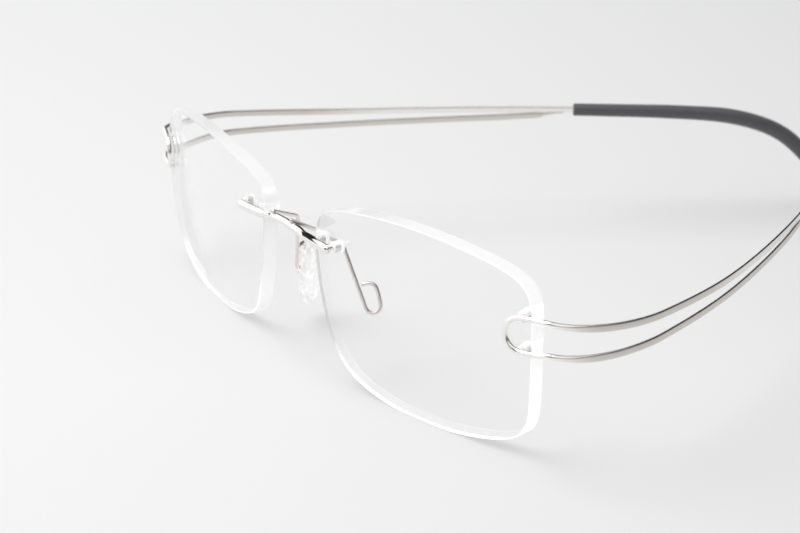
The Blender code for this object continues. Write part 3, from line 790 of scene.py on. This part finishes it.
def make_blank(name):
    """Two concentric faces and a ground edge with a small bevel on each rim."""
    angles = [2 * math.pi * k / LENS_TURNS for k in range(LENS_TURNS)]
    reach = [outline_radius(a) for a in angles]
    back = -LENS_THICK
    # part of the reach, inset, w
    rings = [(part, 0.0, 0.0) for part in FACE_RINGS]
    rings += [(1.0, BEVEL_IN, 0.0), (1.0, 0.0, -BEVEL_DOWN)]
    rings += [(1.0, -EDGE_BULGE * math.sin(math.pi * -w / LENS_THICK), w) for w in EDGE_DEPTHS]
    rings += [(1.0, 0.0, back + BEVEL_DOWN), (1.0, BEVEL_IN, back)]
    rings += [(part, 0.0, back) for part in reversed(FACE_RINGS)]
    edge_rows = range(len(FACE_RINGS), len(rings) - len(FACE_RINGS) - 1)
    bm = bmesh.new()
    rows = []
    for part, inset, w in rings:
        row = []
        for angle, full in zip(angles, reach):
            radius = full * part - inset
            point = through_lens(radius * math.cos(angle), radius * math.sin(angle), w)
            point.z = max(point.z, 0.0)
            row.append(bm.verts.new(point * MM))
        rows.append(row)
    poles = [bm.verts.new(on_lens(0, 0, w) * MM) for w in (0, back)]
    for i, (row, next_row) in enumerate(zip(rows, rows[1:])):
        for here, after, next_after, next_here in around(row, next_row):
            face = bm.faces.new((here, next_here, next_after, after))
            face.smooth = True
            face.material_index = 1 if i in edge_rows else 0
    for pole, row in zip(poles, (rows[0], rows[-1])):
        for k in range(LENS_TURNS):
            bm.faces.new((pole, row[k], row[(k + 1) % LENS_TURNS])).smooth = True
    blank = as_object(bm, name)
    add_lens_materials(blank)
    return blank


def set_sphere_normals(mesh, ball):
    """Give the optical faces true sphere normals, so they shade cleanly round the holes."""
    normals = [None] * len(mesh.loops)
    corner_normals = mesh.corner_normals
    for poly in mesh.polygons:
        facing = (poly.center - ball).normalized().dot(poly.normal)
        for i in poly.loop_indices:
            if poly.material_index == 0 and abs(facing) > 0.9:
                point = mesh.vertices[mesh.loops[i].vertex_index].co
                normals[i] = (point - ball).normalized() * (1 if facing > 0 else -1)
            else:
                normals[i] = Vector(corner_normals[i].vector)
    mesh.normals_split_custom_set(normals)


def make_lens(name, mirrored):
    """Lens with three drilled holes and a notch."""
    obj = make_blank(name)
    for u, v in (*LOOP_HOLES, BRIDGE_HOLE):
        cut(obj, make_drill(u, v))
    cut(obj, make_notch_tool())
    mesh = obj.data
    ball = FRONT_FRAME @ BALL * MM
    if mirrored:
        mirror_mesh(mesh)
        ball.x = -ball.x
    mesh.shade_smooth()
    mesh.set_sharp_from_angle(angle=math.radians(28))
    set_sphere_normals(mesh, ball)
    return obj


# ---------------------------------------------------------------- temples
def make_spring():
    """One wire: lower ribbon, lower leg, U-bend, upper leg, upper ribbon, core in the sleeve."""
    path, shapes, guides, finish_and_sheen = [], [], [], []

    def flat(s):
        return ease((s - 1.5) / 8.0)

    def side_at(s):
        """Thickness direction, from the lens's normal round to the temple's."""
        heading = math.radians(plan(s)[2])
        out = Vector((math.cos(heading), math.sin(heading), 0))
        return FACE_NORMAL.lerp(out, ease((s + 1.0) / 5.0)).normalized()

    def wire_shape(s):
        return (lerp(WIRE_RADIUS, RIBBON_HALF[0], flat(s)),
                lerp(WIRE_RADIUS, RIBBON_HALF[1], flat(s)), lerp(2.0, RIBBON_POWER, flat(s)))

    def push(point, s, shape, guide, painted_sheen=1.0):
        path.append(point)
        shapes.append(shape)
        guides.append(guide)
        finish_and_sheen.append(flat(s) * painted_sheen)

    def leg(ribbon, v, last):
        """(point, station) pairs from the U-bend out to the last station."""
        rough = [on_lens(u, v, WIRE_LIFT) for u, _ in LEG_ON_LENS]
        rough += [temple_point(ribbon, s) for s in LEG_STATIONS]
        stations = [s for _, s in LEG_ON_LENS] + list(LEG_STATIONS)
        points, stations = smooth_path(rough, 0.4, stations)
        for s in between(LEG_STATIONS[-1], last, 1.0)[1:]:
            points.append(temple_point(ribbon, s))
            stations.append(s)
        return list(zip(points, stations))

    upper_leg = leg(UPPER_RIBBON, LOOP_V + LOOP_RADIUS, CORE_START)
    lower_leg = leg(LOWER_RIBBON, LOOP_V - LOOP_RADIUS, LOWER_END)

    # the lower ribbon's thin tongue, laid up against the upper ribbon
    for step in range(TONGUE_STEPS):
        s = WELD_END - (WELD_END - LOWER_END) * step / TONGUE_STEPS
        rise = ease((s - LOWER_END) / (WELD_END - LOWER_END))
        under = temple_point(UPPER_RIBBON, s) - Vector((0, 0, TONGUE_DROP))
        thin = ease((s - LOWER_END) / 1.6)
        shape = (RIBBON_HALF[0], lerp(RIBBON_HALF[1], 0.26, thin), lerp(RIBBON_POWER, 2.2, thin))
        push(temple_point(LOWER_RIBBON, s).lerp(under, rise), s, shape, side_at(s))
    for point, s in reversed(lower_leg):
        push(point, s, wire_shape(s), side_at(s))
    for k in range(1, 24):
        angle = math.radians(270 - 180 * k / 24)
        point = on_lens(LOOP_U + LOOP_RADIUS * math.cos(angle),
                        LOOP_V + LOOP_RADIUS * math.sin(angle), WIRE_LIFT)
        push(point, LOOP_STATION, (WIRE_RADIUS, WIRE_RADIUS, 2.0), FACE_NORMAL)
    for point, s in upper_leg:
        # painted sheen: lighter in colour and more polished towards the sleeve
        push(point, s, wire_shape(s), side_at(s), painted_sheen=1.0 - 0.8 * ease((s - 34.0) / 22.0))
    for s in between(CORE_START, CORE_END, 2.0)[1:]:
        k = ease((s - CORE_START) / 2.0)
        shape = (lerp(RIBBON_HALF[0], CORE_RADIUS, k), lerp(RIBBON_HALF[1], CORE_RADIUS, k),
                 lerp(RIBBON_POWER, 2.0, k))
        push(temple_point(UPPER_RIBBON, s), s, shape, side_at(s))
    return sweep("temple_spring_left", path, shapes, guides, domes=(0.25, 0.3), marks=finish_and_sheen)


def sleeve_radius(s):
    for (start, start_radius), (end, end_radius) in zip(SLEEVE_RADII, SLEEVE_RADII[1:]):
        if s <= end:
            return start_radius + (end_radius - start_radius) * ease((s - start) / (end - start))
    return SLEEVE_RADII[-1][1]


def sleeve_rows():
    """(station, radius) from the bottom of the bore, over the rolled mouth, to the tip."""
    rolled = SLEEVE_START + MOUTH_ROLL
    rows = [(SLEEVE_START + BORE_DEPTH, BORE_RADIUS), (rolled, BORE_RADIUS)]
    lip = (sleeve_radius(SLEEVE_START) - BORE_RADIUS) / 2
    for k in range(9):
        angle = math.pi * k / 8
        rows.append((rolled - MOUTH_ROLL * math.sin(angle),
                     BORE_RADIUS + lip - lip * math.cos(angle)))
    dome_start = TIP_END - TIP_DOME
    rows += [(s, sleeve_radius(s)) for s in between(SLEEVE_START + 0.6, dome_start, 0.8)]
    for k in range(1, 12):
        angle = k / 12 * math.pi / 2
        rows.append((dome_start + TIP_DOME * math.sin(angle),
                     SLEEVE_RADII[-1][1] * math.cos(angle)))
    return rows


def make_sleeve():
    """Soft blind tube with a rolled mouth and a rounded tip trimmed flat on the table."""
    sides = 36
    bm = bmesh.new()
    rows = []
    for s, radius in sleeve_rows():
        before, after = temple_point(UPPER_RIBBON, s - 0.3), temple_point(UPPER_RIBBON, s + 0.3)
        tangent = (after - before).normalized()
        side = tangent.cross(Vector((0, 0, 1))).normalized()
        up = side.cross(tangent).normalized()
        centre = temple_point(UPPER_RIBBON, s)
        row = []
        for k in range(sides):
            angle = 2 * math.pi * k / sides
            point = centre + side * (radius * math.cos(angle)) + up * (radius * math.sin(angle))
            point.z = max(point.z, 0.0)
            row.append(bm.verts.new(point * MM))
        rows.append(row)
    for low, high in zip(rows, rows[1:]):
        for corners in around(low, high):
            bm.faces.new(corners).smooth = True
    bm.faces.new(rows[0]).smooth = True
    tip = temple_point(UPPER_RIBBON, TIP_END)
    tip.z = max(tip.z, 0.0)
    end = bm.verts.new(tip * MM)
    for k in range(sides):
        bm.faces.new((rows[-1][k], rows[-1][(k + 1) % sides], end)).smooth = True
    return as_object(bm, "sleeve_fine_left")


# ---------------------------------------------------------------- bridge, pins and bushings
def make_bridge():
    """Arched bar, thinner in the middle and at each neck, lying along both lens faces."""
    mid_y, mid_z = BRIDGE_MID
    stations = [(x, BRIDGE_RADIUS * (1.0 - 0.08 * (1 - min(1, x / 4)))) for x in ARCH_X]
    stations += NECK
    points = [front(x, mid_y + ARCH_BACK * (x / ARCH_SPAN) ** 2,
                    mid_z - ARCH_DROP * (x / ARCH_SPAN) ** 2) for x, _ in stations]
    points += [on_lens(u, CLIP_V, BRIDGE_RADIUS + SURFACE_GAP) for u in CLIP_U]
    radii = [radius for _, radius in stations] + [BRIDGE_RADIUS] * len(CLIP_U)
    other = [Vector((-p.x, p.y, p.z)) for p in points[1:]]
    path, radii = smooth_path(other[::-1] + points, 0.22, radii[1:][::-1] + radii)
    return round_wire("bridge_fine", path, radii, (0, -0.2, 1), 36,
                      (BRIDGE_RADIUS, BRIDGE_RADIUS))


def make_pin(name, u, v, top):
    """Pin from w = top through the lens to a little behind it."""
    start, end = on_lens(u, v, top), on_lens(u, v, -LENS_THICK - PIN_END)
    path = [start.lerp(end, k / 8) for k in range(9)]
    return round_wire(name, path, PIN_RADIUS, (0, 0, 1), 24, (0.1, 0.2))


def make_bushing(name, u, v):
    """Open cup in the hole, with a wider closed head behind the lens."""
    back = -LENS_THICK
    profile = rounded((
        (0, back - 0.85), (0.6, back - 0.85), (0.92, back - 0.75), (1.14, back - 0.45),
        (1.14, back - 0.15), (BUSH_OUTER, back - 0.15), (BUSH_OUTER, -0.05),
        (BUSH_INNER, -0.05), (BUSH_INNER, back - 0.5), (0, back - 0.5)), 0.09)
    obj = lathe(name, profile)
    origin = on_lens(u, v, 0)
    out = (on_lens(u, v, 1) - origin).normalized()
    obj.data.transform(Matrix.Translation(origin * MM)
                       @ out.to_track_quat('Z', 'Y').to_matrix().to_4x4())
    return obj


# ---------------------------------------------------------------- pad arms and pad
def arm_directions():
    """Down the arm's leg, and across it towards the hook's open end."""
    leg = (ARM_LOW - ARM_BEND).normalized()
    across = Vector((0.55, 0.835, 0))
    return leg, (across - leg * across.dot(leg)).normalized()


def arm_points():
    """Pad arm from its root on the bridge to the open end of the hook."""
    leg, across = arm_directions()
    incoming = (ARM_BEND - ARM_ROOT).normalized()
    path = [ARM_ROOT, ARM_ROOT.lerp(ARM_BEND, 0.45), ARM_BEND - incoming * BEND_REACH]
    for k in (0.25, 0.5, 0.75):
        before = ARM_BEND - incoming * BEND_REACH * (1 - k)
        after = ARM_BEND + leg * BEND_REACH * k
        path.append(before.lerp(after, k))
    path += [ARM_BEND + leg * length for length in LEG_LENGTHS]
    for k in range(7):
        angle = math.radians(180 - 30 * k)
        path.append(ARM_BEND + leg * (HOOK_CENTRE + HOOK_RADIUS * math.sin(angle))
                    + across * (HOOK_RADIUS + HOOK_RADIUS * math.cos(angle)))
    path += [ARM_BEND + leg * along + across * aside for along, aside in HOOK_RETURN]
    return [front(*p) for p in path]


def make_pad_arm():
    path, _ = smooth_path(arm_points(), 0.3)
    return round_wire("pad_arm_fine_left", path, ARM_RADIUS, (0.2, 0.1, 1.0), 20, (0.0, 0.2))


def make_blob(name, centre, half, axes, taper=0.0, power=1.0, lean=0.0):
    """Ball stretched along the tall, wide and thick axes, narrowing upwards by the taper."""
    tall, wide, thick = axes
    bm = bmesh.new()
    bmesh.ops.create_uvsphere(bm, u_segments=56, v_segments=36, radius=1.0)
    for vert in bm.verts:
        x, y, z = (signed_power(c, power) for c in vert.co)
        if taper and z < 0:
            z = -(-z) ** 0.75
        slim = 1.0 - taper * z - 0.4 * taper * z * z
        point = (centre + tall * (half[0] * z) + wide * (half[1] * x * slim)
                 + thick * (half[2] * y * slim ** 0.6 - lean * z))
        vert.co = front(*point) * MM
    return as_object(bm, name)


def make_pad():
    """Pad on the left arm's hook: a drop and a squarer boss, with a slot for the wire."""
    leg, across = arm_directions()
    middle = ARM_BEND + leg * PAD_MIDDLE[0] + across * PAD_MIDDLE[1]
    thick = -leg.cross(across).normalized()         # towards the nose
    tall = -leg
    wide = -tall.cross(thick).normalized()
    axes = (tall, wide, thick)
    pad = make_blob("nose_pad_fine_left", middle + thick * 1.75 + wide * 0.6 - tall * 3.3,
                    PAD_HALF, axes, taper=PAD_TAPER, lean=PAD_LEAN)
    boss = make_blob("boss", middle + wide * 0.75 - tall * 0.4, BOSS_HALF, axes,
                     power=BOSS_POWER)
    cut(pad, boss, 'UNION')
    path = arm_points()
    path.append(path[-1] + (path[-1] - path[-2]).normalized() * HOOK_CLEAR)
    # cut in two overlapping stretches: leg and hook, then hook end
    for stretch in (path[8:-4], path[-7:]):
        points, _ = smooth_path(stretch, 0.4)
        cut(pad, round_wire("slot", points, SLOT_RADIUS, sides=16))
    skin = pad.modifiers.new("skin", 'REMESH')
    skin.mode = 'VOXEL'
    skin.voxel_size = 0.00013
    soften = pad.modifiers.new("soften", 'SMOOTH')
    soften.factor = 0.5
    soften.iterations = 5
    freeze(pad)
    return pad


# ---------------------------------------------------------------- assembly
SIDES = ("left", "right")


def hand_over(obj, rides, replaced=None):
    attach(obj, rides)
    if replaced:
        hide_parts(replaced)


def with_mirror(obj, name):
    return obj, flip_side(obj, name + "_right")


def flex_point(sign, station):
    point = temple_point(UPPER_RIBBON, station)
    return (sign * point.x * MM, point.y * MM, FLEX_HEIGHT * MM)


lenses = [make_lens("lens_fine_" + side, side == "right") for side in SIDES]
for lens, side in zip(lenses, SIDES):
    hand_over(lens, "front", "lens_" + side)

bridge = dress(make_bridge(), STEEL)
hand_over(bridge, "front", "bridge")

arm = dress(make_pad_arm(), ARM_STEEL)
# the pad is made on the left and only its mirror copy is kept
left_pad = make_pad()
pad = dress(flip_side(left_pad, "nose_pad_fine_right"), SILICONE)
bpy.data.objects.remove(left_pad, do_unlink=True)
spring = dress(make_spring(), SPRING_STEEL)
sleeve = dress(make_sleeve(), SLEEVE_RUBBER, sharp_angle=60)
arms = with_mirror(arm, "pad_arm_fine")
springs = with_mirror(spring, "temple_spring")
sleeves = with_mirror(sleeve, "sleeve_fine")

pins = []
for label, (u, v), top in (("bridge_pin_outer", BRIDGE_HOLE, BRIDGE_RADIUS),
                           ("bridge_pin_inner", NOTCH_END, BRIDGE_RADIUS),
                           ("loop_pin_upper", LOOP_HOLES[0], WIRE_LIFT),
                           ("loop_pin_lower", LOOP_HOLES[1], WIRE_LIFT)):
    pins.append(with_mirror(dress(make_pin(label + "_left", u, v, top), STEEL), label))

bushings = {}
for label, (u, v) in (("temple_bushing_upper", LOOP_HOLES[0]),
                      ("temple_bushing_lower", LOOP_HOLES[1]),
                      ("bridge_bushing_outer", BRIDGE_HOLE),
                      ("bridge_bushing_inner", NOTCH_END)):
    bushing = dress(make_bushing(label + "_fine_left", u, v), BUSHING_PLASTIC, sharp_angle=50)
    bushings[label] = with_mirror(bushing, label + "_fine")

hand_over(pad, "pad_right", "nose_pad_right")
for i, side in enumerate(SIDES):
    hand_over(arms[i], "front", "pad_arm_" + side)
    hand_over(sleeves[i], "temple_" + side, "tip_sleeve_" + side)
    for pair in pins:
        hand_over(pair[i], "front")
    for label, pair in bushings.items():
        hand_over(pair[i], "front", label + "_" + side)
    flex_start, flex_end = (flex_point((1, -1)[i], s) for s in FLEX_STATIONS)
    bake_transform(springs[i])
    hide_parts("temple_loop_" + side, "temple_wire_" + side)

# ---------------------------------------------------------------- camera
# the camera's own directions and place, in metres
AHEAD = Vector((-0.77994, 0.52088, -0.34695))
RIGHT = Vector((0.55525, 0.83169, 0.0004))
DOWN = Vector((0.28875, -0.19235, -0.93788))
CAMERA_PLACE = (0.32219, -0.26413, 0.15603)

camera_data = bpy.data.cameras.new("camera")
camera = bpy.data.objects.new("camera", camera_data)
collection.objects.link(camera)
camera.matrix_world = (Matrix.Translation(CAMERA_PLACE)
                       @ Matrix((RIGHT, -DOWN, -AHEAD)).transposed().to_4x4())
camera_data.sensor_width = 36.0
camera_data.lens = 99.53
camera_data.clip_start = 0.01
camera_data.clip_end = 50.0
focus = bpy.data.objects.new("focus_point", None)
focus.location = front(12.0, 0.0, 8.0) * MM
collection.objects.link(focus)
camera_data.dof.use_dof = True
camera_data.dof.focus_object = focus
camera_data.dof.aperture_fstop = 40.0
bpy.context.scene.camera = camera
bpy.context.scene.view_settings.view_transform = 'Standard'
bpy.context.scene.view_settings.look = 'None'


# ---------------------------------------------------------------- stage and light
def make_paper():
    """Paper with painted shade: it darkens to the right, far away and close up; clear from below."""
    material, n = new_material("sweep_paper")
    geometry = n.node("NewGeometry")
    place = n.object_place()
    across = n.dot(geometry.outputs['Position'], (RIGHT.x, RIGHT.y, 0))
    away = n.dot(geometry.outputs['Position'], (AHEAD.x, AHEAD.y, 0))
    # the view widens with distance, so 'across' is taken as a part of its width
    widening, least_width = 2.1, 0.4
    width = n.math('MAXIMUM', n.plus(n.times(away, widening), 1.0), least_width)
    turn = n.ramp(n.math('DIVIDE', across, width), span=(-0.2, 0.2), to=(-0.2, 0.2))
    far = n.ramp(away, span=(-0.3, 0.5), to=(-0.3, 0.5))
    # close: distance nearer than the start, up to a limit
    close_start, close_limit = -0.05, 0.12
    close = n.math('MAXIMUM', n.minus(close_start, away), 0.0)
    close = n.math('MINIMUM', close, close_limit)
    # middle tone, and the painted shade each distance takes off it
    middle, far_loss, turn_loss, turn_squared_loss, close_loss = 0.797, 0.18, 0.8, 1.7, 0.56
    blue_extra = 0.001
    tone = n.minus(middle, n.times(far, far_loss), n.times(turn, turn_loss),
                   n.times(turn, turn, turn_squared_loss), n.times(close, close_loss))
    paper = n.node("CombineColor", {0: tone, 1: tone, 2: n.plus(tone, blue_extra)})
    fibre = n.noise(place, scale=1500.0, detail=2.0)
    bump = n.bump(fibre, strength=0.03, distance=0.0001)
    top = n.node("BsdfDiffuse", {'Color': paper, 'Normal': bump})
    under = n.node("BsdfTransparent")
    n.output(n.mix_shader(geometry.outputs['Backfacing'], top, under))
    return material


def make_card(name, corners, material):
    """Small card seen only by glossy rays."""
    mesh = bpy.data.meshes.new(name)
    mesh.from_pydata([tuple(c * MM for c in corner) for corner in corners], [], [(0, 1, 2, 3)])
    mesh.materials.append(material)
    card = link_mesh(mesh, name)
    for ray in ("camera", "diffuse", "transmission", "shadow", "volume_scatter"):
        setattr(card, "visible_" + ray, False)


bm = bmesh.new()
bmesh.ops.create_grid(bm, x_segments=1, y_segments=1, size=8.0)
bmesh.ops.translate(bm, verts=bm.verts, vec=(0, 0, -0.0001))
floor = as_object(bm, "floor", recalc=False)
floor.data.materials.append(make_paper())

# black cards beside the bridge, placed for its reflections in the main view
card_black, n = new_material("card_black")
n.output(n.node("BsdfDiffuse", {'Color': rgb(0.012, 0.011, 0.010)}))
make_card("card_clip", ((6.4, -72.6, 27.9), (6.2, -76.0, 26.4), (5.6, -80.0, 27.5),
                        (6.2, -71.2, 30.8)), card_black)
make_card("card_neck_inner", ((-11.5, -75.6, 30.4), (-10.2, -75.9, 30.6), (-9.8, -79.0, 27.4),
                              (-11.1, -78.5, 28.2)), card_black)

# a white card above it, which keeps the arch bright
card_white, n = new_material("card_white")
n.output(n.node("Emission", {'Color': grey(1.0), 'Strength': 1.25}))
make_card("card_arch", ((-10.0, -81.5, 33.8), (2.6, -85.0, 34.6), (3.0, -72.0, 41.0),
                        (-10.0, -71.5, 38.0)), card_white)

# key: a broad soft source from the camera's left, high up
KEY_LEFT, KEY_AHEAD, KEY_UP = 0.62, 0.12, 0.9
key_data = bpy.data.lights.new("key", 'SUN')
key_data.energy = 2.15
key_data.angle = math.radians(54)
key = bpy.data.objects.new("key", key_data)
level_ahead = Vector((AHEAD.x, AHEAD.y, 0)).normalized()
toward_key = (-RIGHT * KEY_LEFT + level_ahead * KEY_AHEAD + Vector((0, 0, KEY_UP))).normalized()
key.rotation_mode = 'QUATERNION'
key.rotation_quaternion = toward_key.to_track_quat('Z', 'Y')
key.location = toward_key * 1.5
collection.objects.link(key)


def make_world():
    """Even grey for most rays, dimmer for diffuse ones, and a studio room for glossy ones."""
    world = bpy.data.worlds.new("studio")
    bpy.context.scene.world = world
    world.use_nodes = True
    n = Nodes(world.node_tree)
    generated = n.node("TexCoord").outputs['Generated']
    direction = n.node("VectorMath", {0: generated}, operation='NORMALIZE')

    def bank(room, toward, span, level):
        """Lay a bright patch round a direction; span is in cosines from it."""
        facing = n.dot(direction, tuple(Vector(toward).normalized()))
        return n.mix(n.ramp(facing, span=span, smooth=True), room, grey(level))

    # heading is measured from -X towards -Y in degrees; rise is height over level distance
    x, y, z = n.axes(direction)
    angle = n.math('ARCTAN2', n.times(y, -1.0), n.times(x, -1.0))
    heading = n.times(angle, 180 / math.pi)
    level_run = n.math('SQRT', n.plus(n.times(x, x), n.times(y, y)))
    least_run = 0.001               # keeps the division safe
    rise = n.math('DIVIDE', z, n.math('MAXIMUM', level_run, least_run))

    dark_walls = rgb(0.045, 0.040, 0.036)
    low_wall = n.times(n.ramp(rise, span=(0.30, 0.14), smooth=True),
                       n.ramp(heading, span=(-22.0, -10.0), to=(0.25, 1.0), smooth=True))
    room = n.mix(low_wall, dark_walls, rgb(0.30, 0.265, 0.235))

    # big white card standing on the camera's left, its top edge level
    card_heading, card_turn, card_rise = 3.0, 62.0, 0.81
    turned = n.math('MINIMUM', n.minus(heading, card_heading), card_turn)
    swing = n.math('COSINE', n.times(turned, math.pi / 180))
    below = n.minus(n.times(swing, card_rise), rise)
    card = n.times(n.ramp(below, span=(-0.03, 0.05), smooth=True),
                   n.times(n.ramp(heading, span=(-24.0, -19.0), smooth=True),
                           n.ramp(heading, span=(92.0, 82.0), smooth=True)))
    room = n.mix(card, room, grey(1.25))

    # one bank overhead, one high on the camera's side
    room = bank(room, toward=(0.05, -0.05, 1.0), span=(0.79, 0.84), level=1.05)
    room = bank(room, toward=(0.6, -0.33, 0.73), span=(0.86, 0.92), level=1.0)
    path = n.node("LightPath")
    sky = n.mix(path.outputs['Is Glossy Ray'], rgb(0.838, 0.838, 0.84), room)
    sky = n.mix(path.outputs['Is Diffuse Ray'], sky, rgb(0.5, 0.5, 0.503))
    n.output(n.node("Background", {'Color': sky, 'Strength': 1.0}), "OutputWorld")


make_world()

# ---------------------------------------------------------------- update
bpy.context.view_layer.update()
